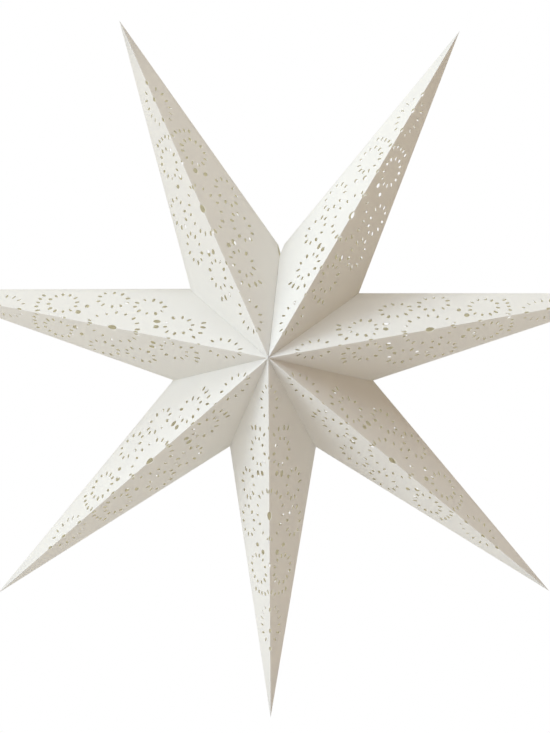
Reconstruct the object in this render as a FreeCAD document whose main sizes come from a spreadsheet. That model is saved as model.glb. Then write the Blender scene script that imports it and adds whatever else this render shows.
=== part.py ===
"""A hanging star lantern of folded, perforated paper: seven hollow points round one axis.

The front looks towards -Y, +Z is up, and the origin is where the star hangs: between the parted
lips of the paper, at the valley above its centre. Every point is one folded sheet. Its two side
walls meet in a sharp crease along the front ridge and along the back ridge, bend softly at their
outer edge, and end in a glue flap that lies flat on the neighbour's. The ring of points is closed
at the seam, between the two upper points, by double-sided tape on the last pair of flaps. There
the lips of the paper part in a V, and a lamp's cord goes in.
"""
import FreeCAD, Part
import math
import os
from dataclasses import dataclass
from FreeCAD import Placement, Rotation, Vector

SIZES = {
    # The star as a whole, in millimetres. Each point reaches a little further or less far than the
    # next, as folded paper does.
    "reach_upper_left": 300.0,
    "reach_left": 297.0,
    "reach_lower_left": 305.0,
    "reach_bottom": 303.5,
    "reach_lower_right": 301.0,
    "reach_right": 302.0,
    "reach_upper_right": 304.0,
    "half_depth": 90.0,
    "valley_radius": 85.5,
    "bend_radius": 30.0,
    "paper": 0.3,
    "flap_width": 10.0,
    "axis_gap": 1.0,
    # The seam: its closing tape and the parted lips
    "tape_thickness": 0.2,
    "tape_width": 8.0,
    "tape_length": 70.0,
    "tape_start": 14.0,
    "lip_gap": 6.0,
    "lip_depth": 10.0,
    # Where the points lie round the axis, in degrees anticlockwise as seen from the front. The
    # spreads run from tip to tip, start and end at the seam, and share out the full turn.
    "seam_direction": 85.7,
    "spread_seam_upper_left": 29.2,
    "spread_upper_left_left": 55.2,
    "spread_left_lower_left": 51.2,
    "spread_lower_left_bottom": 48.3,
    "spread_bottom_lower_right": 49.6,
    "spread_lower_right_right": 50.1,
    "spread_right_upper_right": 50.6,
    "spread_upper_right_seam": 25.8,
    # The perforations: small dabs in rings on the flat panels
    "dab_length": 4.0,
    "dab_width": 2.0,
    "inner_ring_radius": 11.0,
    "middle_ring_radius": 9.5,
    "outer_ring_radius": 11.0,
}
POINTS = ["upper_left", "left", "lower_left", "bottom", "lower_right", "right", "upper_right"]
SPREADS = [name for name in SIZES if name.startswith("spread_")]
LEFT, RIGHT = 1, -1  # a point's anticlockwise and clockwise side
BEND_STRIPS = 8  # the flat strips that make up each bend
PUNCH_LENGTH = 4.0  # a perforation's cutter, half of it on each side of the panel
SPARE = 1.0  # how far a cutter runs past what it trims

document = FreeCAD.newDocument("star_lantern")
sheet = document.addObject("Spreadsheet::Sheet", "sizes")
for row, (alias, size) in enumerate(SIZES.items(), start=1):
    sheet.set(f"A{row}", alias)
    sheet.set(f"B{row}", str(size))
    sheet.setAlias(f"B{row}", alias)
document.recompute()


def cell(alias):
    """The number that the sheet holds under this alias."""
    return float(sheet.get(alias))


HALF_DEPTH = cell("half_depth")
BEND_RADIUS = cell("bend_radius")
BEND_CENTRE = cell("valley_radius") - BEND_RADIUS
# A wall leaves the axis at the half depth and runs straight until it touches the bend. The slope is
# its angle to the star's middle plane, and the corner is where it would cross that plane.
SLOPE = math.atan2(HALF_DEPTH, BEND_CENTRE) - math.asin(BEND_RADIUS / math.hypot(HALF_DEPTH, BEND_CENTRE))
CORNER_RADIUS = HALF_DEPTH / math.tan(SLOPE)
FRONT = Vector(0, -HALF_DEPTH, 0)


@dataclass(frozen=True)
class Ring:
    """A ring of dabs on a flat panel. along and across are shares of the way from the centre to the
    tip and to the panel's outer corner."""

    along: float
    across: float
    radius: str
    first_angle: float
    step: float
    dabs: int


RINGS = [
    Ring(0.191, 0.229, "inner_ring_radius", 30, 90, 4),
    Ring(0.221, 0.436, "middle_ring_radius", 30, 90, 4),
    Ring(0.326, 0.436, "middle_ring_radius", 30, 90, 4),
    Ring(0.525, 0.229, "outer_ring_radius", 30, 90, 4),
]


def total(aliases):
    """The sum of these cells, as an expression."""
    return "(" + " + ".join(f"sizes.{alias}" for alias in aliases) + ")"


def turned(count):
    """The direction that the first count spreads add up to, as an expression."""
    if count == 0:
        return "sizes.seam_direction"
    return f"sizes.seam_direction + 360 * {total(SPREADS[:count])} / {total(SPREADS)}"


def half_opening(index, side):
    """The angle from a point's middle to its side wall's glue edge, as an expression. Next to the
    seam it is the whole spread, and elsewhere the neighbour has the other half."""
    spread = index + (1 if side == LEFT else 0)
    share = 360 if spread in (0, len(POINTS)) else 180
    return f"{share} * sizes.{SPREADS[spread]} / {total(SPREADS)}"


def opening_degrees(index, side):
    """The same angle as a number."""
    spread = index + (1 if side == LEFT else 0)
    share = 360 if spread in (0, len(POINTS)) else 180
    return share * cell(SPREADS[spread]) / sum(cell(alias) for alias in SPREADS)


def reach(index):
    """How far a point's tip lies from the axis."""
    return cell(f"reach_{POINTS[index]}")


def edge_direction(opening):
    """The way that a wall's glue edge leaves the front centre, opening degrees from the middle."""
    turn = math.radians(opening)
    return Vector(math.cos(SLOPE) * math.cos(turn), math.sin(SLOPE), math.cos(SLOPE) * math.sin(turn))


def wall_inset(index, opening):
    """How far the paper's inner face lies in from its outer face, measured in the glue edge's plane."""
    turn = math.radians(opening)
    ridge = Vector(reach(index), 0, 0) - FRONT
    across = ridge - edge_direction(opening) * ridge.dot(edge_direction(opening))
    return cell("paper") * across.Length / (reach(index) * math.sin(turn))


def tip_inset(index, opening):
    """How far the hollow stops short of the tip, where the offset walls meet."""
    turn = math.radians(opening)
    fall = math.atan2(CORNER_RADIUS * math.sin(turn), reach(index) - CORNER_RADIUS * math.cos(turn))
    return wall_inset(index, opening) / math.sin(SLOPE) * math.sin(turn + fall) / math.sin(fall)


def origin_plane(body, role):
    """One of the planes of a body's own origin."""
    return next(feature for feature in body.Origin.OriginFeatures if feature.Role == role)


def add_sketch(body, label, role, offset=Placement()):
    """An empty sketch on one of the body's origin planes."""
    sketch = body.newObject("Sketcher::SketchObject", label)
    sketch.AttachmentSupport = [(origin_plane(body, role), "")]
    sketch.MapMode = "FlatFace"
    sketch.AttachmentOffset = offset
    return sketch


def add_glue_plane_sketch(body, label, index, side):
    """An empty sketch on the plane of a side's glue edge: its X runs outwards and its Y is the axis."""
    offset = Placement(Vector(), Rotation(Vector(0, -side, 0), opening_degrees(index, side)))
    sketch = add_sketch(body, label, "XY_Plane", offset)
    sketch.setExpression("AttachmentOffset.Rotation.Angle", half_opening(index, side))
    return sketch


def edge_points(inset):
    """A glue edge set in by inset: the front centre, the corners of the bend's strips, the back centre."""
    radius = BEND_RADIUS - inset
    depth = HALF_DEPTH - inset / math.cos(SLOPE)
    first = math.pi / 2 - SLOPE
    bend = []
    for number in range(BEND_STRIPS + 1):
        angle = first * (2 * number / BEND_STRIPS - 1)
        bend.append(Vector(BEND_CENTRE + radius * math.cos(angle), radius * math.sin(angle), 0))
    return [Vector(0, -depth, 0), *bend, Vector(0, depth, 0)]


def draw_outline(sketch, points):
    """Adds a closed outline through these points."""
    sketch.addGeometry([Part.LineSegment(a, b) for a, b in zip(points, points[1:] + points[:1])])


def add_half(body, kind, index, side, inset, apex_radius):
    """Adds or takes away the half of a point's form on one side of its middle: from the glue edge,
    set in by inset, straight to an apex on the point's middle line."""
    name = ("Form" if kind == "AdditiveLoft" else "Hollow") + ("Left" if side == LEFT else "Right")
    profile = add_glue_plane_sketch(body, f"{name}Edge", index, side)
    draw_outline(profile, edge_points(inset))
    apex = add_sketch(body, f"{name}Tip", "XY_Plane")
    apex.addGeometry(Part.Point(Vector(apex_radius, 0, 0)))
    document.recompute()
    loft = body.newObject(f"PartDesign::{kind}", name)
    loft.Profile = profile
    loft.Sections = [(apex, ["Vertex1"])]
    loft.Ruled = True
    document.recompute()


def beside_seam(index, side):
    """Whether this side of the point lies at the seam."""
    return (index, side) in ((0, RIGHT), (len(POINTS) - 1, LEFT))


def add_flap(body, index, side):
    """Adds the glue flap of one side, folded in flat along the glue edge. At the seam it leaves out
    the bend, where the lips part and the cord goes in."""
    name = "FlapLeft" if side == LEFT else "FlapRight"
    outline = add_glue_plane_sketch(body, f"{name}Outline", index, side)
    outer = edge_points(cell("paper") / 2)
    inner = edge_points(cell("flap_width"))
    if beside_seam(index, side):
        draw_outline(outline, outer[:2] + inner[1::-1])
        draw_outline(outline, outer[-2:] + inner[:-3:-1])
    else:
        draw_outline(outline, outer + inner[::-1])
    document.recompute()
    pad = body.newObject("PartDesign::Pad", name)
    pad.Profile = outline
    pad.Reversed = side == LEFT
    pad.setExpression("Length", "sizes.paper")
    document.recompute()


def cut_through(body, name, sketch):
    """Cuts a sketch's outline through the whole body, along its axis."""
    document.recompute()
    pocket = body.newObject("PartDesign::Pocket", name)
    pocket.Profile = sketch
    pocket.Type = "ThroughAll"
    pocket.Midplane = True
    document.recompute()
    return pocket


def trim_at_axis(body):
    """Trims the sheet a little short of the star's axis, where all the points meet."""
    gap = cell("axis_gap")
    beyond = gap + SPARE
    outline = [(-SPARE, -beyond), (gap, -beyond), (gap, beyond), (-SPARE, beyond)]
    sketch = add_sketch(body, "AxisOutline", "XZ_Plane")
    draw_outline(sketch, [Vector(out, off, 0) for out, off in outline])
    cut_through(body, "AxisTrim", sketch)


def part_lips(body, index, side):
    """Trims a point beside the seam: makes room for the tape, and parts the lips of the paper."""
    opening = opening_degrees(index, side)
    turn = math.radians(opening)
    outward = Vector(math.cos(turn), side * math.sin(turn), 0)
    inward = Vector(math.sin(turn), -side * math.cos(turn), 0)
    half_gap = cell("lip_gap") / 2
    half_tape = cell("tape_thickness") / 2
    # The outer edge runs straight from the valley to the tip, so it leaves the seam as it goes out
    climb = (reach(index) * math.cos(turn) - cell("valley_radius")) / (reach(index) * math.sin(turn))
    top = cell("valley_radius") + climb * half_gap
    bottom = top - cell("lip_depth")
    # Past the top the cutter keeps the lips' slope, so that it clears them
    beyond = top + cell("lip_depth")
    clear_of_lips = 2 * half_gap - half_tape
    outline = [(-SPARE, -SPARE), (-SPARE, half_tape), (bottom, half_tape), (beyond, clear_of_lips),
               (beyond, -SPARE)]
    sketch = add_sketch(body, "SeamOutline", "XZ_Plane")
    draw_outline(sketch, [outward * out + inward * off for out, off in outline])
    cut_through(body, "Seam", sketch)


def punch_panel(body, index, side):
    """Punches the rings of dabs in one of a point's front panels."""
    ridge = Vector(reach(index), 0, 0) - FRONT
    ridge_length = ridge.Length
    along = ridge.normalize()
    corner = edge_direction(side * opening_degrees(index, side)) * (CORNER_RADIUS / math.cos(SLOPE))
    across = corner - along * corner.dot(along)
    corner_flat = Vector(corner.dot(along), across.Length, 0)
    across.normalize()
    offset = Placement(FRONT, Rotation(along, across, along.cross(across), "XYZ"))
    sketch = add_sketch(body, "DabsLeft" if side == LEFT else "DabsRight", "XY_Plane", offset)
    half_length = cell("dab_length") / 2
    half_width = cell("dab_width") / 2
    for ring in RINGS:
        middle = Vector(ring.along * ridge_length, 0, 0) + corner_flat * ring.across
        for number in range(ring.dabs):
            angle = math.radians(ring.first_angle + number * ring.step)
            out = Vector(math.cos(angle), math.sin(angle), 0)
            round_ring = Vector(-out.y, out.x, 0)
            dab = middle + out * cell(ring.radius)
            draw_outline(sketch, [
                dab + out * half_length * x + round_ring * half_width * y
                for x, y in ((-1, -1), (1, -1), (1, 1), (-1, 1))
            ])
    document.recompute()
    pocket = body.newObject("PartDesign::Pocket", "PunchLeft" if side == LEFT else "PunchRight")
    pocket.Profile = sketch
    pocket.Midplane = True
    pocket.Length = PUNCH_LENGTH
    document.recompute()
    return pocket


def place_on_axis(body, direction):
    """Turns a body from its own X to its direction round the star's axis, and moves it to the axis."""
    body.Placement = Placement(Vector(), Rotation(Vector(0, -1, 0), 1))
    body.setExpression("Placement.Rotation.Angle", direction)
    body.setExpression("Placement.Base.x", "-sizes.valley_radius * cos(sizes.seam_direction * 1deg)")
    body.setExpression("Placement.Base.z", "-sizes.valley_radius * sin(sizes.seam_direction * 1deg)")


def build_point(index):
    """One folded point of the star, from the axis to its tip."""
    body = document.addObject("PartDesign::Body", f"point_{POINTS[index]}")
    opening = (opening_degrees(index, LEFT) + opening_degrees(index, RIGHT)) / 2
    for side in (LEFT, RIGHT):
        add_half(body, "AdditiveLoft", index, side, 0, reach(index))
    for side in (LEFT, RIGHT):
        apex_radius = reach(index) - tip_inset(index, opening)
        add_half(body, "SubtractiveLoft", index, side, wall_inset(index, opening), apex_radius)
    for side in (LEFT, RIGHT):
        add_flap(body, index, side)
    for side in (LEFT, RIGHT):
        if beside_seam(index, side):
            part_lips(body, index, side)
    trim_at_axis(body)
    punches = [punch_panel(body, index, side) for side in (LEFT, RIGHT)]
    mirrored = body.newObject("PartDesign::Mirrored", "BackDabs")
    mirrored.Originals = punches
    mirrored.MirrorPlane = (origin_plane(body, "XZ_Plane"), [""])
    body.Tip = mirrored
    place_on_axis(body, turned(index + 1))
    return body


def build_tape(name, face):
    """A strip of double-sided tape between the last two flaps, on the front face (-1) or the back (1)."""
    body = document.addObject("PartDesign::Body", f"seam_tape_{name}")
    front, bend_start, *_ = edge_points(cell("flap_width") / 2)
    along = (bend_start - front).normalize()
    across = Vector(-along.y, along.x, 0) * (cell("tape_width") / 2)
    near = front + along * cell("tape_start")
    far = near + along * cell("tape_length")
    outline = [near - across, far - across, far + across, near + across]
    sketch = add_sketch(body, "TapeOutline", "XY_Plane")
    draw_outline(sketch, [Vector(point.x, -face * point.y, 0) for point in outline])
    document.recompute()
    pad = body.newObject("PartDesign::Pad", "Tape")
    pad.Profile = sketch
    pad.Midplane = True
    pad.setExpression("Length", "sizes.tape_thickness")
    place_on_axis(body, turned(0))
    return body


pieces = [build_point(index) for index in range(len(POINTS))]
pieces += [build_tape(name, face) for name, face in (("front", -1), ("back", 1))]
document.recompute()

for item in document.Objects:
    if "Invalid" in item.State or "Error" in item.State:
        raise RuntimeError(f"{item.Label} did not build: {item.State}")
for piece in pieces:
    if piece.Shape.isNull() or not piece.Shape.isValid() or len(piece.Shape.Solids) != 1:
        raise RuntimeError(f"{piece.Label} is not one sound solid")

os.makedirs("parts", exist_ok=True)
for piece in pieces:
    piece.Shape.exportStep(f"parts/{piece.Label}.step")
    print(f"{piece.Label}: {piece.Shape.Volume / 1000:.2f} cm3, {len(piece.Shape.Faces)} faces")
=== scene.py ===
"""A hanging star lantern of folded, perforated paper, dressed and lit for its photograph.

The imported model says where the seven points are. Each point is made the way the paper is: a sheet is
outlined and perforated flat, creased along straight lines that all meet at the tip, folded, given its
glue flaps and its thickness. Lengths are in millimetres up to the fold, and in metres after it.
"""
import bpy
import logging
import math
import random
from collections.abc import Iterator
from contextlib import contextmanager
from dataclasses import dataclass, field
from enum import Enum
from mathutils import Matrix, Vector


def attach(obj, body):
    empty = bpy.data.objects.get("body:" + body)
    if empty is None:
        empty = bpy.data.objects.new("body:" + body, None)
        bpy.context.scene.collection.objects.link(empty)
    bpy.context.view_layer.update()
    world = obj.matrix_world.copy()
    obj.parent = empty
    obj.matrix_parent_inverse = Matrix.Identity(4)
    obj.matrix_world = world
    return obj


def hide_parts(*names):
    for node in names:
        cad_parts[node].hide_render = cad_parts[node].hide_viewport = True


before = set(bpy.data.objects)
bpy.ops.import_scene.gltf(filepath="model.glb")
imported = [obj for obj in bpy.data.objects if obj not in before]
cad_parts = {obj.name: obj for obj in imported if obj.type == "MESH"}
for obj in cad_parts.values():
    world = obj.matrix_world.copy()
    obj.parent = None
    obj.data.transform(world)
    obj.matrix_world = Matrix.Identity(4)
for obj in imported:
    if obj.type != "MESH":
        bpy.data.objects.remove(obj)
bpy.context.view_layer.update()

LOG = logging.getLogger("star")
METRES = 0.001  # one millimetre, in metres
FULL_TURN = 360.0  # degrees
SAME_PLACE = 0.01  # millimetres within which two places on the paper are the same
CUT_SLACK = 0.0005  # millimetres within which a cut takes a corner as lying on it
AXIS_REACH = 0.5  # millimetres from the axis within which the paper's edge belongs to no flap
BEND_SLACK = 0.2  # millimetres by which a seam flap may pass the end of its straight run
SMOOTH_ANGLE = math.radians(14)  # faces that turn by less look like one bent face


class Side(Enum):
    """A point's two side walls, as seen from the front."""

    LEFT = 1
    RIGHT = -1


def select_only(piece: bpy.types.Object) -> None:
    """Makes one object the only selected one, and the active one."""
    bpy.ops.object.select_all(action="DESELECT")
    piece.select_set(True)
    bpy.context.view_layer.objects.active = piece


@contextmanager
def editing(piece: bpy.types.Object) -> Iterator[None]:
    """Holds one object open in edit mode, with all of its mesh selected."""
    select_only(piece)
    bpy.ops.object.mode_set(mode="EDIT")
    bpy.ops.mesh.select_all(action="SELECT")
    yield
    bpy.ops.object.mode_set(mode="OBJECT")


def join(pieces: list[bpy.types.Object], name: str) -> bpy.types.Object:
    """Joins several objects into the first.

    Args:
        pieces: The objects, each with a mesh of its own.
        name: What the joined object is called.

    Returns:
        The joined object.
    """
    select_only(pieces[0])
    for piece in pieces[1:]:
        piece.select_set(True)
    bpy.ops.object.join()
    pieces[0].name = name
    return pieces[0]


def copy_of(piece: bpy.types.Object, change: Matrix) -> bpy.types.Object:
    """Copies an object with its own mesh, and applies a change to that mesh.

    Args:
        piece: The object to copy.
        change: What is done to the copy's mesh.

    Returns:
        The copy, linked into the scene.
    """
    twin = piece.copy()
    twin.data = piece.data.copy()
    twin.data.transform(change)
    bpy.context.scene.collection.objects.link(twin)
    return twin


@dataclass(frozen=True)
class GlueEdge:
    """The edge along which neighbouring points meet, in the plane of their flaps.

    It runs straight out from the front centre, bends round, and runs straight back to the back
    centre. A place on it is a pair: how far out from the axis, and how far back from the middle.

    Attributes:
        half_depth: From the star's middle plane to its front centre.
        valley_radius: From the axis to the outside of the bend.
        bend_radius: The bend's radius.
        strips: The flat strips that make up the bend.
    """

    half_depth: float = 90.0
    valley_radius: float = 85.5
    bend_radius: float = 30.0
    strips: int = 24

    @property
    def bend_centre(self) -> float:
        """How far the bend's centre lies from the axis."""
        return self.valley_radius - self.bend_radius

    @property
    def slope(self) -> float:
        """The angle from the middle plane to the straight runs, in radians."""
        reach = math.hypot(self.half_depth, self.bend_centre)
        return math.atan2(self.half_depth, self.bend_centre) - math.asin(self.bend_radius / reach)

    @property
    def corner_radius(self) -> float:
        """Where the straight runs would meet if they went on."""
        return self.half_depth / math.tan(self.slope)

    def corners(self) -> list[tuple[float, float]]:
        """The front centre, the ends of the bend's strips and the back centre."""
        half_turn = math.pi / 2 - self.slope
        bend = []
        for number in range(self.strips + 1):
            angle = half_turn * (2 * number / self.strips - 1)
            out = self.bend_centre + self.bend_radius * math.cos(angle)
            bend.append((out, self.bend_radius * math.sin(angle)))
        return [(0.0, -self.half_depth), *bend, (0.0, self.half_depth)]

    def inward(self, out: float, back: float) -> tuple[float, float]:
        """How the edge moves at one place when it is set in by one millimetre.

        Args:
            out: How far out from the axis the place is.
            back: How far back from the middle plane it is.

        Returns:
            The move, outwards and backwards.
        """
        facing = -math.copysign(1.0, back)
        if out < self.bend_radius / 2:
            return 0.0, facing / math.cos(self.slope)
        if abs(back) >= self.bend_radius * math.cos(self.slope):
            return -math.sin(self.slope), facing * math.cos(self.slope)
        reach = math.hypot(out - self.bend_centre, back)
        return (self.bend_centre - out) / reach, -back / reach


@dataclass(frozen=True)
class Wall:
    """One side wall of a point: front panel, bend and back panel, straight from glue edge to tip.

    Its own axes are the point's: X runs out through the tip, Y back, and Z to the left side. Laid
    flat, it fans out round the tip, with the front ridge along the flat X.

    Attributes:
        side: Which side of the point it is.
        opening: The angle from the point's middle to the glue edge's plane, in radians.
        tip_radius: From the axis to the tip.
        edge: The glue edge's shape.
    """

    side: Side
    opening: float
    tip_radius: float
    edge: GlueEdge

    def place(self, out: float, back: float) -> Vector:
        """A place in the glue edge's plane, in the point's axes."""
        across = self.side.value * math.sin(self.opening)
        return Vector((out * math.cos(self.opening), back, out * across))

    def spoke(self, out: float, back: float) -> Vector:
        """The straight line from the tip to a place in the glue edge's plane."""
        return self.place(out, back) - Vector((self.tip_radius, 0, 0))

    def spokes(self) -> list[Vector]:
        """The lines from the tip to the corners of the glue edge, the front ridge first."""
        return [self.spoke(*corner) for corner in self.edge.corners()]

    def fan(self) -> list[float]:
        """The angles of those lines from the front ridge, with the wall laid flat."""
        spokes = self.spokes()
        angles = [0.0]
        for one, other in zip(spokes, spokes[1:]):
            angles.append(angles[-1] + one.angle(other))
        return angles

    def flat(self, reach: float, angle: float) -> Vector:
        """A place on the flat wall, reach from the tip at an angle from the front ridge."""
        return Vector((reach * math.cos(angle), self.side.value * reach * math.sin(angle), 0))

    def flat_corners(self) -> list[Vector]:
        """The corners of the glue edge on the flat wall, the front centre first."""
        return [self.flat(spoke.length, angle) for spoke, angle in zip(self.spokes(), self.fan())]

    def flat_sharp_corner(self) -> Vector:
        """Where the front panel's outer corner would lie if nothing bent, on the flat wall."""
        spoke = self.spoke(self.edge.corner_radius, 0)
        return self.flat(spoke.length, self.spokes()[0].angle(spoke))

    def fold(self, reach: float, angle: float, spokes: list[Vector], fan: list[float]) -> Vector:
        """Takes a place on the flat wall to where the folded paper has it.

        Args:
            reach: How far it lies from the tip.
            angle: How far it is turned from the front ridge.
            spokes: What spokes() gives.
            fan: What fan() gives.

        Returns:
            The place in the point's axes.
        """
        number = 0
        while number < len(fan) - 2 and angle > fan[number + 1]:
            number += 1
        first, last = spokes[number].normalized(), spokes[number + 1].normalized()
        before, after = angle - fan[number], fan[number + 1] - angle
        pull = first * math.sin(after) + last * math.sin(before)
        return Vector((self.tip_radius, 0, 0)) + pull * (reach / math.sin(before + after))


@dataclass(frozen=True)
class DabArc:
    """Perforations on an arc, each pointing away from its centre.

    Places are on the front panel: how far along the front ridge from the star's centre, and how far
    off the ridge.

    Attributes:
        centre: The arc's centre.
        radii: Its half lengths along the ridge and off it.
        dabs: How many there are.
        first: The first one's direction, in degrees.
        sweep: How many degrees they cover.
        size: A dab's length and width.
    """

    centre: tuple[float, float]
    radii: tuple[float, float]
    dabs: int
    first: float = 0.0
    sweep: float = FULL_TURN
    size: tuple[float, float] = (3.9, 2.4)

    def places(self) -> Iterator[tuple[float, float, float]]:
        """Where each dab is, and the way that it points, in radians."""
        steps = self.dabs if self.sweep == FULL_TURN else self.dabs - 1
        for number in range(self.dabs):
            angle = math.radians(self.first + self.sweep * number / max(steps, 1))
            along = self.centre[0] + self.radii[0] * math.cos(angle)
            off = self.centre[1] + self.radii[1] * math.sin(angle)
            yield along, off, angle


@dataclass(frozen=True)
class Perforations:
    """The perforations of one panel, which every panel repeats.

    Attributes:
        arcs: The dabs on each panel.
        ridge_dabs: On the ridges: how far each lies from the star's centre, its length and width.
        corners: How many corners a dab's outline has.
        unevenness: How much a dab's size strays, as a share.
        stray: How far a dab strays from its arc.
        lean: How far a dab leans from its direction, in radians.
        seed: Starts the draws.
    """

    arcs: tuple[DabArc, ...] = (
        DabArc((39.5, -5.0), (16.5, 16.5), 5, 44, 102, (3.8, 2.2)),
        DabArc((85.0, 17.0), (11.5, 10.5), 10, 10),
        DabArc((85.0, 17.0), (20.5, 19.0), 4, 150, 60, (4.6, 2.5)),
        DabArc((85.0, 17.0), (19.0, 14.5), 2, -24, 26, (5.2, 4.2)),
        DabArc((117.5, 33.0), (12.5, 9.0), 10, 14),
        DabArc((150.5, 33.0), (12.5, 9.0), 10, 4),
        DabArc((136.0, 0.0), (21.4, 18.5), 8, 11, 158, (4.0, 2.3)),
        DabArc((171.0, 10.3), (0.0, 0.0), 1, 40, 0, (6.4, 5.2)),
        DabArc((167.0, 19.2), (0.0, 0.0), 1, 60, 0, (4.4, 3.2)),
        DabArc((188.0, 17.4), (12.0, 11.0), 12, 6),
        DabArc((188.0, 15.0), (20.5, 19.5), 5, -40, 62, (3.8, 2.3)),
        DabArc((233.0, -5.0), (18.6, 18.0), 6, 40, 98, (4.0, 1.6)),
    )
    ridge_dabs: tuple[tuple[float, float, float], ...] = (
        (24.0, 3.0, 1.6), (60.0, 3.4, 2.2), (86.0, 4.2, 2.8), (115.0, 4.2, 2.8), (136.0, 7.6, 6.4),
        (155.6, 4.2, 3.0), (179.0, 4.2, 3.0), (219.0, 4.4, 3.2), (238.0, 4.4, 3.8), (254.0, 4.2, 3.6),
    )
    corners: int = 12
    unevenness: float = 0.18
    stray: float = 0.5
    lean: float = 0.25
    seed: int = 5

    def outline(self) -> bpy.types.Object:
        """One dab's outline, a millimetre across, round its own centre."""
        bpy.ops.object.select_all(action="DESELECT")
        bpy.ops.mesh.primitive_circle_add(vertices=self.corners, radius=0.5, fill_type="NOTHING")
        return bpy.context.object

    def lay_out(self, ridge: float) -> bpy.types.Object:
        """Lays out one panel's dabs flat, measured from the tip.

        Args:
            ridge: The front ridge's length.

        Returns:
            An object of all their outlines.
        """
        draw = random.Random(self.seed)
        dab = self.outline()
        dabs = []
        for arc in self.arcs:
            for along, off, angle in arc.places():
                length = arc.size[0] * (1 + draw.uniform(-self.unevenness, self.unevenness))
                width = arc.size[1] * (1 + draw.uniform(-self.unevenness, self.unevenness))
                place = Vector((ridge - along, off, 0))
                strays = draw.uniform(-self.stray, self.stray), draw.uniform(-self.stray, self.stray)
                place += Vector((*strays, 0))
                turn = Matrix.Rotation(math.pi - angle + draw.uniform(-self.lean, self.lean), 4, "Z")
                size = Matrix.Diagonal((length, width, 1, 1))
                dabs.append(copy_of(dab, Matrix.Translation(place) @ turn @ size))
        bpy.data.objects.remove(dab)
        return join(dabs, "panel_dabs")

    def lay_out_ridge(self, ridge: float) -> bpy.types.Object:
        """Lays out the front ridge's dabs flat, measured from the tip.

        Args:
            ridge: The front ridge's length.

        Returns:
            An object of all their outlines.
        """
        dab = self.outline()
        dabs = []
        for along, length, width in self.ridge_dabs:
            place = Matrix.Translation((ridge - along, 0, 0))
            dabs.append(copy_of(dab, place @ Matrix.Diagonal((length, width, 1, 1))))
        bpy.data.objects.remove(dab)
        return join(dabs, "ridge_dabs")

    def notches(self, ridge: float) -> list[tuple[float, float]]:
        """The halves of the ridge dabs that one back panel holds, from the tip to the centre.

        Args:
            ridge: The back ridge's length.

        Returns:
            Places on the panel's edge: how far from the tip, and how far in from the ridge.
        """
        places = []
        for along, length, width in sorted(self.ridge_dabs, reverse=True):
            for number in range(self.corners // 2 + 1):
                angle = math.pi * (1 - 2 * number / self.corners)
                reach = ridge - along + length / 2 * math.cos(angle)
                places.append((reach, width / 2 * math.sin(angle)))
        return places


@dataclass(frozen=True)
class Seam:
    """Where the last two points meet: taped flaps, and lips that part in a V for the cord.

    Attributes:
        tape_thickness: Between the flaps.
        lip_gap: How wide the V is at its top.
        lip_depth: How deep it is.
    """

    tape_thickness: float = 0.2
    lip_gap: float = 6.0
    lip_depth: float = 10.0

    def planes(self, wall: Wall) -> list[tuple[Vector, Vector]]:
        """The planes that trim a wall at the seam.

        Args:
            wall: The wall beside the seam.

        Returns:
            For each plane, a place on it and the direction of the paper that stays, in the point's
            axes.
        """
        turn = wall.opening
        outward = Vector((math.cos(turn), 0, wall.side.value * math.sin(turn)))
        inward = Vector((math.sin(turn), 0, -wall.side.value * math.cos(turn)))
        rise = self.lip_gap / 2 - self.tape_thickness / 2
        tip_out, tip_off = wall.tip_radius * math.cos(turn), wall.tip_radius * math.sin(turn)
        climb = (tip_out - wall.edge.valley_radius) / tip_off
        bottom = wall.edge.valley_radius + climb * self.lip_gap / 2 - self.lip_depth
        start = inward * (self.tape_thickness / 2)
        lip = (inward * self.lip_depth - outward * rise).normalized()
        return [(start, inward), (start + outward * bottom, lip)]


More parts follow.
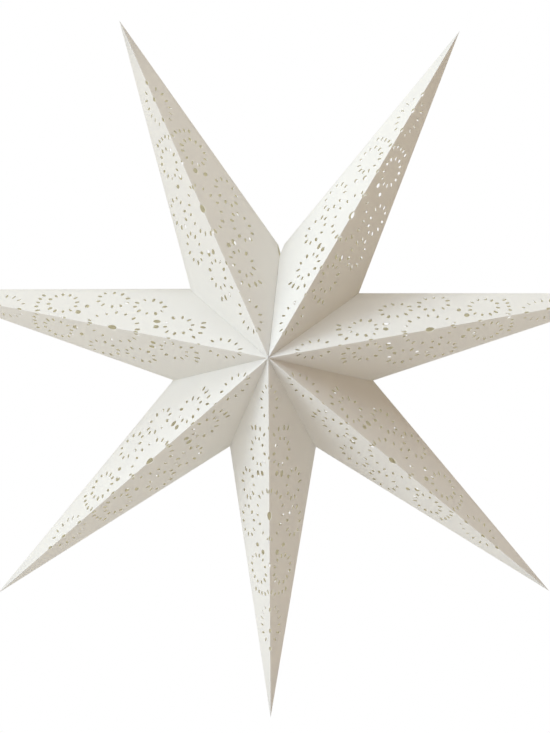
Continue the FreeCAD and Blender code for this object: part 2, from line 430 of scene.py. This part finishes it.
@dataclass(frozen=True)
class PaperFinish:
    """White paper, lit from outside and faintly through its thickness.

    Attributes:
        name: The material's name.
        colour: Its colour in linear light.
        shade: The colour of its cloudier fibres.
        through: The share of light that goes through a face.
        roughness: Its roughness.
        fibre: How many millimetres a fibre cluster spans.
        clouds_per_metre: How many clouds of denser paper lie side by side in a metre.
        bump: How far the fibres stand up, in metres.
        bump_strength: How much of that shows.
        gloss: How much its surface mirrors.
    """

    name: str
    colour: tuple[float, float, float]
    shade: tuple[float, float, float]
    through: float
    roughness: float = 0.85
    fibre: float = 0.8
    clouds_per_metre: float = 45.0
    bump: float = 0.00002
    bump_strength: float = 0.5
    gloss: float = 0.2

    def build(self) -> bpy.types.Material:
        """Builds the material.

        Returns:
            The material.
        """
        material = bpy.data.materials.new(self.name)
        material.use_nodes = True
        tree = material.node_tree
        tree.nodes.clear()
        place = tree.nodes.new("ShaderNodeTexCoord")
        fibres = tree.nodes.new("ShaderNodeTexNoise")
        fibres.inputs["Scale"].default_value = 1 / (self.fibre * METRES)
        fibres.inputs["Detail"].default_value = 3.0
        clouds = tree.nodes.new("ShaderNodeTexNoise")
        clouds.inputs["Scale"].default_value = self.clouds_per_metre
        clouds.inputs["Detail"].default_value = 2.0
        tree.links.new(place.outputs["Object"], fibres.inputs["Vector"])
        tree.links.new(place.outputs["Object"], clouds.inputs["Vector"])
        tint = tree.nodes.new("ShaderNodeMix")
        tint.data_type = "RGBA"
        tint.inputs["A"].default_value = (*self.colour, 1)
        tint.inputs["B"].default_value = (*self.shade, 1)
        tree.links.new(clouds.outputs["Fac"], tint.inputs["Factor"])
        bump = tree.nodes.new("ShaderNodeBump")
        bump.inputs["Strength"].default_value = self.bump_strength
        bump.inputs["Distance"].default_value = self.bump
        tree.links.new(fibres.outputs["Fac"], bump.inputs["Height"])
        face = tree.nodes.new("ShaderNodeBsdfPrincipled")
        face.inputs["Roughness"].default_value = self.roughness
        face.inputs["Specular IOR Level"].default_value = self.gloss
        tree.links.new(tint.outputs["Result"], face.inputs["Base Color"])
        tree.links.new(bump.outputs["Normal"], face.inputs["Normal"])
        glow = tree.nodes.new("ShaderNodeBsdfTranslucent")
        tree.links.new(tint.outputs["Result"], glow.inputs["Color"])
        tree.links.new(bump.outputs["Normal"], glow.inputs["Normal"])
        both = tree.nodes.new("ShaderNodeMixShader")
        both.inputs["Fac"].default_value = self.through
        tree.links.new(face.outputs["BSDF"], both.inputs[1])
        tree.links.new(glow.outputs["BSDF"], both.inputs[2])
        output = tree.nodes.new("ShaderNodeOutputMaterial")
        tree.links.new(both.outputs["Shader"], output.inputs["Surface"])
        return material


@dataclass(frozen=True)
class TapeFinish:
    """Clear double-sided tape, dulled by its glue.

    Attributes:
        name: The material's name.
        colour: Its colour in linear light.
        mottle: The colour where the glue is thick.
        roughness: Its roughness.
        mottles_per_metre: How many thick spots of glue lie side by side in a metre.
    """

    name: str = "double_sided_tape"
    colour: tuple[float, float, float] = (0.80, 0.79, 0.74)
    mottle: tuple[float, float, float] = (0.70, 0.68, 0.60)
    roughness: float = 0.35
    mottles_per_metre: float = 220.0

    def build(self) -> bpy.types.Material:
        """Builds the material.

        Returns:
            The material.
        """
        material = bpy.data.materials.new(self.name)
        material.use_nodes = True
        tree = material.node_tree
        face = tree.nodes["Principled BSDF"]
        face.inputs["Roughness"].default_value = self.roughness
        place = tree.nodes.new("ShaderNodeTexCoord")
        glue = tree.nodes.new("ShaderNodeTexNoise")
        glue.inputs["Scale"].default_value = self.mottles_per_metre
        tint = tree.nodes.new("ShaderNodeMix")
        tint.data_type = "RGBA"
        tint.inputs["A"].default_value = (*self.colour, 1)
        tint.inputs["B"].default_value = (*self.mottle, 1)
        tree.links.new(place.outputs["Object"], glue.inputs["Vector"])
        tree.links.new(glue.outputs["Fac"], tint.inputs["Factor"])
        tree.links.new(tint.outputs["Result"], face.inputs["Base Color"])
        return material


@dataclass
class FoldedPoint:
    """One point of the star, a perforated sheet folded into four panels.

    Attributes:
        node: The CAD node that it stands for.
        placement: From the point's axes, in millimetres, to the frame's.
        walls: Its left and right walls.
        seam: The seam, for a point beside it.
        seam_side: The wall at the seam, if there is one.
        finishes: The paper's outer and inner faces.
        paper: The paper's thickness.
        flap_width: How far the glue flaps reach in.
    """

    node: str
    placement: Matrix
    walls: dict[Side, Wall]
    seam: Seam
    seam_side: Side | None
    finishes: list[bpy.types.Material]
    paper: float = 0.3
    flap_width: float = 10.0

    def build(self, holes: Perforations) -> bpy.types.Object:
        """Builds the point.

        Args:
            holes: The perforations' rule.

        Returns:
            The finished piece.
        """
        sheet = self.cut_sheet(holes)
        self.crease(sheet)
        self.fold(sheet)
        self.trim_seam(sheet)
        for side in Side:
            self.add_flap(sheet, side)
        self.place(sheet)
        self.thicken(sheet)
        self.declare(sheet)
        return sheet

    def outline(self, holes: Perforations) -> list[Vector]:
        """The flat sheet's outline, from the tip up the left back ridge and round to the tip."""
        halves = []
        for side in (Side.LEFT, Side.RIGHT):
            wall = self.walls[side]
            corners = wall.flat_corners()
            along = corners[-1].normalized()
            inward = Vector((along.y, -along.x, 0)) * side.value
            ridge = [along * reach + inward * off for reach, off in holes.notches(corners[-1].length)]
            halves.append(ridge + corners[::-1])
        left, right = halves
        return [Vector((0, 0, 0)), *left, *right[-2::-1]]

    def cut_sheet(self, holes: Perforations) -> bpy.types.Object:
        """Cuts the flat sheet with all its perforations.

        Args:
            holes: The perforations' rule.

        Returns:
            The flat sheet, with the tip at the origin.
        """
        corners = self.outline(holes)
        bpy.ops.object.select_all(action="DESELECT")
        bpy.ops.mesh.primitive_circle_add(vertices=len(corners), fill_type="NOTHING")
        sheet = bpy.context.object
        for vertex, corner in zip(sheet.data.vertices, corners):
            vertex.co = corner
        ridge = self.walls[Side.LEFT].spokes()[0].length
        panel_dabs = holes.lay_out(ridge)
        parts = [sheet, holes.lay_out_ridge(ridge)]
        for wall in self.walls.values():
            to_front = self.panel_map(wall)
            middle = wall.fan()[len(wall.fan()) // 2] * wall.side.value
            across = Matrix.Rotation(2 * middle, 4, "Z") @ Matrix.Diagonal((1, -1, 1, 1))
            parts += [copy_of(panel_dabs, to_front), copy_of(panel_dabs, across @ to_front)]
        bpy.data.objects.remove(panel_dabs)
        sheet = join(parts, self.node.replace("point", "folded_point"))
        with editing(sheet):
            bpy.ops.mesh.fill(use_beauty=True)
        if sheet.data.polygons[0].normal.z < 0:
            with editing(sheet):
                bpy.ops.mesh.flip_normals()
        return sheet

    def panel_map(self, wall: Wall) -> Matrix:
        """Takes the even panel of a regular star to this wall's front panel, both laid flat."""
        even = Wall(Side.LEFT, math.pi / 7, wall.tip_radius, wall.edge).flat_sharp_corner()
        own = wall.flat_sharp_corner()
        change = Matrix.Identity(4)
        change[0][1] = (own.x - even.x) / even.y
        change[1][1] = own.y / even.y
        return change

    def crease(self, sheet: bpy.types.Object) -> None:
        """Cuts the flat sheet's faces along every line that it folds on."""
        lines = [0.0]
        for side, wall in self.walls.items():
            lines += [side.value * angle for angle in wall.fan()[1:-1]]
        with editing(sheet):
            for line in lines:
                bpy.ops.mesh.select_all(action="SELECT")
                across = (-math.sin(line), math.cos(line), 0)
                bpy.ops.mesh.bisect(plane_co=(0, 0, 0), plane_no=across, threshold=CUT_SLACK)

    def fold(self, sheet: bpy.types.Object) -> None:
        """Folds the flat sheet, and joins its two back edges along the back ridge."""
        laid = {side: (wall, wall.spokes(), wall.fan()) for side, wall in self.walls.items()}
        for vertex in sheet.data.vertices:
            angle = math.atan2(vertex.co.y, vertex.co.x)
            wall, spokes, fan = laid[Side.LEFT if angle > 0 else Side.RIGHT]
            vertex.co = wall.fold(vertex.co.length, abs(angle), spokes, fan)
        with editing(sheet):
            bpy.ops.mesh.remove_doubles(threshold=SAME_PLACE)

    def trim_seam(self, sheet: bpy.types.Object) -> None:
        """Trims the wall beside the seam, for the tape and the parted lips."""
        if self.seam_side is None:
            return
        for start, stays in self.seam.planes(self.walls[self.seam_side]):
            with editing(sheet):
                bpy.ops.mesh.bisect(plane_co=start, plane_no=stays, clear_inner=True, threshold=CUT_SLACK)

    def add_flap(self, sheet: bpy.types.Object, side: Side) -> None:
        """Adds one side's glue flap, in from the glue edge. At the seam it leaves out the bend.

        The short edges along the axis lie on both sides' glue planes, and belong to neither flap.

        Args:
            sheet: The folded sheet.
            side: The side that gets its flap.
        """
        wall = self.walls[side]
        at_seam = side == self.seam_side
        inward = Vector((math.sin(wall.opening), 0, -side.value * math.cos(wall.opening)))
        outward = Vector((math.cos(wall.opening), 0, side.value * math.sin(wall.opening)))
        lift = self.seam.tape_thickness / 2 if at_seam else 0.0
        bend_depth = wall.edge.bend_radius * math.cos(wall.edge.slope)
        mesh = sheet.data
        on_edge = [
            abs(vertex.co.dot(inward) - lift) < SAME_PLACE
            and (not at_seam or abs(vertex.co.y) > bend_depth - BEND_SLACK)
            for vertex in mesh.vertices
        ]
        on_axis = [math.hypot(vertex.co.x, vertex.co.z) < AXIS_REACH for vertex in mesh.vertices]
        faces_at = [0] * len(mesh.edges)
        for polygon in mesh.polygons:
            for loop in polygon.loop_indices:
                faces_at[mesh.loops[loop].edge_index] += 1
        with editing(sheet):
            bpy.ops.mesh.select_all(action="DESELECT")
            bpy.ops.mesh.select_mode(type="EDGE")
        for edge in mesh.edges:
            runs_out = not all(on_axis[corner] for corner in edge.vertices)
            at_flap = all(on_edge[corner] for corner in edge.vertices)
            edge.select = faces_at[edge.index] == 1 and runs_out and at_flap
        select_only(sheet)
        bpy.ops.object.mode_set(mode="EDIT")
        bpy.ops.mesh.extrude_edges_move()
        bpy.ops.object.mode_set(mode="OBJECT")
        for vertex in sheet.data.vertices:
            if vertex.select:
                out, back = wall.edge.inward(vertex.co.dot(outward), vertex.co.y)
                vertex.co += (outward * out + Vector((0, back, 0))) * self.flap_width
        with editing(sheet):
            bpy.ops.mesh.select_mode(type="VERT")

    def place(self, sheet: bpy.types.Object) -> None:
        """Puts the folded sheet where the frame has it, with its faces looking outwards."""
        sheet.data.transform(self.placement @ Matrix.Scale(METRES, 4))
        with editing(sheet):
            bpy.ops.mesh.normals_make_consistent(inside=False)

    def thicken(self, sheet: bpy.types.Object) -> None:
        """Gives the sheet its thickness, inwards, and its finishes."""
        for finish in self.finishes:
            sheet.data.materials.append(finish)
        wall = sheet.modifiers.new("thickness", "SOLIDIFY")
        wall.thickness = self.paper * METRES
        wall.offset = -1
        wall.use_even_offset = True
        wall.use_quality_normals = True
        wall.material_offset = 1
        wall.material_offset_rim = 0
        select_only(sheet)
        bpy.ops.object.modifier_apply(modifier=wall.name)
        bpy.ops.object.shade_smooth_by_angle(angle=SMOOTH_ANGLE)

    def declare(self, sheet: bpy.types.Object) -> None:
        """Hangs the sheet on the root body, and hides the CAD part that it stands for."""
        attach(sheet, "root")
        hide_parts(self.node)


@dataclass
class Star:
    """The whole star: seven folded points and the seam's tape.

    Attributes:
        edge: The glue edges' shape.
        seam: The seam's sizes.
        holes: The perforations.
        seam_direction: The seam's direction round the axis, in degrees anticlockwise.
        outside: The paper's outer face.
        inside: Its inner face, tinted tan as painted warm bounce light and shade from inside the star.
        tape: The tape's finish.
        centre: The star's centre, in metres.
    """

    edge: GlueEdge = GlueEdge()
    seam: Seam = Seam()
    holes: Perforations = Perforations()
    seam_direction: float = 85.7
    outside: PaperFinish = PaperFinish("white_paper", (0.90, 0.90, 0.88), (0.87, 0.87, 0.85), 0.34)
    # The inner face's tan colour is painted light: it stands in for the warm light bounced about inside
    # the star, and the shade there, seen through the perforations.
    inside: PaperFinish = PaperFinish("paper_inside_painted_bounce", (0.90, 0.86, 0.71), (0.87, 0.83, 0.67), 0.54)
    tape: TapeFinish = TapeFinish()
    centre: Vector = field(init=False)

    def __post_init__(self) -> None:
        """The frame's origin is at the seam's valley, so the centre lies that far below it."""
        turn = math.radians(self.seam_direction)
        self.centre = Vector((math.cos(turn), 0, math.sin(turn))) * (-self.edge.valley_radius * METRES)

    def tips(self) -> dict[str, tuple[float, float]]:
        """Each point's direction in degrees and reach in millimetres, anticlockwise from the seam."""
        found = {}
        for name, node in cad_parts.items():
            if name.startswith("point_"):
                spots = [vertex.co - self.centre for vertex in node.data.vertices]
                tip = max(spots, key=lambda spot: spot.length)
                direction = math.degrees(math.atan2(tip.z, tip.x))
                if direction < self.seam_direction:
                    direction += FULL_TURN
                found[name] = (direction, tip.length / METRES)
        return dict(sorted(found.items(), key=lambda pair: pair[1]))

    def build(self) -> None:
        """Builds every point, and dresses the tape."""
        finishes = [self.outside.build(), self.inside.build()]
        tips = self.tips()
        directions = [direction for direction, _ in tips.values()]
        for number, (name, (direction, reach)) in enumerate(tips.items()):
            last = number == len(tips) - 1
            if last:
                after = self.seam_direction + FULL_TURN - direction
            else:
                after = (directions[number + 1] - direction) / 2
            if number == 0:
                before = direction - self.seam_direction
            else:
                before = (direction - directions[number - 1]) / 2
            walls = {
                Side.LEFT: Wall(Side.LEFT, math.radians(after), reach, self.edge),
                Side.RIGHT: Wall(Side.RIGHT, math.radians(before), reach, self.edge),
            }
            seam_side = Side.RIGHT if number == 0 else Side.LEFT if last else None
            placement = Matrix.Translation(self.centre) @ Matrix.Rotation(-math.radians(direction), 4, "Y")
            point = FoldedPoint(name, placement, walls, self.seam, seam_side, finishes)
            piece = point.build(self.holes)
            LOG.info("%s: %d faces", piece.name, len(piece.data.polygons))
        tape = self.tape.build()
        for name in ("seam_tape_front", "seam_tape_back"):
            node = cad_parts[name]
            node.data.materials.clear()
            node.data.materials.append(tape)


@dataclass(frozen=True)
class Lamp:
    """A broad, distant lamp.

    Attributes:
        name: The lamp's name.
        azimuth: The way it shines from, in degrees: 0 is the front, 90 the right.
        elevation: How high it stands, in degrees.
        strength: Its strength.
        colour: Its colour.
        spread: How wide it looks from the star, in degrees.
    """

    name: str
    azimuth: float
    elevation: float
    strength: float
    colour: tuple[float, float, float]
    spread: float

    def direction(self) -> Vector:
        """The way from the star to the lamp."""
        azimuth, elevation = math.radians(self.azimuth), math.radians(self.elevation)
        level = math.cos(elevation)
        return Vector((math.sin(azimuth) * level, -math.cos(azimuth) * level, math.sin(elevation)))

    def build(self) -> None:
        """Adds the lamp to the scene."""
        bpy.ops.object.light_add(type="SUN", location=self.direction())
        lamp = bpy.context.object
        lamp.name = self.name
        lamp.rotation_euler = (-self.direction()).to_track_quat("-Z", "Y").to_euler()
        lamp.data.energy = self.strength
        lamp.data.color = self.colour
        lamp.data.angle = math.radians(self.spread)


@dataclass
class Studio:
    """The camera, the light and the pale surroundings.

    Attributes:
        target: The star's centre, in metres.
        azimuth: The camera's way from the star, in degrees: 0 is the front, 90 the right.
        elevation: How high it stands, in degrees.
        distance: How far it is from the star's centre, in metres.
        lens: Its focal length on a sensor 36 mm long.
        aim_right: How far right of the star's centre it looks, in millimetres.
        aim_up: How far above the star's centre it looks, in millimetres.
        floor_height: The floor's height, in metres.
        floor_size: How wide the floor is, in metres.
        floor_colour: Its colour in linear light.
        floor_roughness: Its roughness.
        surround: The light from all round.
        surround_strength: Its strength.
        lamps: The lamps.
    """

    target: Vector
    azimuth: float = 2.46
    elevation: float = 2.90
    distance: float = 2.4
    lens: float = 143.16
    aim_right: float = 1.56
    aim_up: float = -11.86
    floor_height: float = -1.0
    floor_size: float = 3.0
    floor_colour: tuple[float, float, float] = (0.88, 0.88, 0.87)
    floor_roughness: float = 0.9
    surround: tuple[float, float, float] = (1.0, 0.76, 0.62)
    surround_strength: float = 0.49
    lamps: tuple[Lamp, ...] = (
        Lamp("key", -60, 30, 1.35, (0.77, 0.885, 1.0), 22),
        Lamp("side", -60, 0, 1.06, (0.77, 0.905, 1.0), 30),
        Lamp("top", 0, 75, 1.56, (0.76, 0.90, 1.0), 50),
    )

    def build(self) -> None:
        """Sets up all of it."""
        self.place_camera()
        self.light_world()
        self.lay_floor()
        for lamp in self.lamps:
            lamp.build()
        bpy.context.scene.view_settings.view_transform = "Standard"

    def place_camera(self) -> None:
        """Adds the camera where the photograph was taken from."""
        azimuth, elevation = math.radians(self.azimuth), math.radians(self.elevation)
        level = math.cos(elevation)
        away = Vector((math.sin(azimuth) * level, -math.cos(azimuth) * level, math.sin(elevation)))
        right = Vector((math.cos(azimuth), math.sin(azimuth), 0))
        up = right.cross(-away)
        spot = self.target + away * self.distance
        aim = self.target + (right * self.aim_right + up * self.aim_up) * METRES
        bpy.ops.object.camera_add(location=spot)
        camera = bpy.context.object
        camera.name = "camera"
        camera.rotation_euler = (aim - spot).to_track_quat("-Z", "Y").to_euler()
        camera.data.lens = self.lens
        camera.data.sensor_width = 36.0
        bpy.context.scene.camera = camera

    def seen(self, tree: bpy.types.NodeTree) -> bpy.types.NodeSocket:
        """Adds what tells rays that show the surroundings from rays that light the star."""
        path = tree.nodes.new("ShaderNodeLightPath")
        glossy = tree.nodes.new("ShaderNodeMath")
        glossy.operation = "MAXIMUM"
        clear = tree.nodes.new("ShaderNodeMath")
        clear.operation = "MAXIMUM"
        tree.links.new(path.outputs["Is Camera Ray"], glossy.inputs[0])
        tree.links.new(path.outputs["Is Glossy Ray"], glossy.inputs[1])
        tree.links.new(glossy.outputs["Value"], clear.inputs[0])
        tree.links.new(path.outputs["Is Transmission Ray"], clear.inputs[1])
        return clear.outputs["Value"]

    def light_world(self) -> None:
        """Makes the world white to look at, and an even soft light for the star."""
        world = bpy.data.worlds.new("studio")
        bpy.context.scene.world = world
        world.use_nodes = True
        tree = world.node_tree
        tree.nodes.clear()
        light = tree.nodes.new("ShaderNodeBackground")
        light.inputs["Color"].default_value = (*self.surround, 1)
        light.inputs["Strength"].default_value = self.surround_strength
        white = tree.nodes.new("ShaderNodeBackground")
        white.inputs["Color"].default_value = (1, 1, 1, 1)
        mix = tree.nodes.new("ShaderNodeMixShader")
        output = tree.nodes.new("ShaderNodeOutputWorld")
        tree.links.new(self.seen(tree), mix.inputs["Fac"])
        tree.links.new(light.outputs["Background"], mix.inputs[1])
        tree.links.new(white.outputs["Background"], mix.inputs[2])
        tree.links.new(mix.outputs["Shader"], output.inputs["Surface"])

    def lay_floor(self) -> None:
        """Lays the pale floor below the star."""
        bpy.ops.object.select_all(action="DESELECT")
        bpy.ops.mesh.primitive_plane_add(size=self.floor_size, location=(0, 0, self.floor_height))
        floor = bpy.context.object
        floor.name = "floor"
        material = bpy.data.materials.new("pale_floor")
        material.use_nodes = True
        face = material.node_tree.nodes["Principled BSDF"]
        face.inputs["Base Color"].default_value = (*self.floor_colour, 1)
        face.inputs["Roughness"].default_value = self.floor_roughness
        floor.data.materials.append(material)


def main() -> None:
    """Builds the star and its surroundings."""
    logging.basicConfig(level=logging.INFO, format="%(message)s")
    star = Star()
    star.build()
    Studio(star.centre).build()


if __name__ == "__main__":
    main()
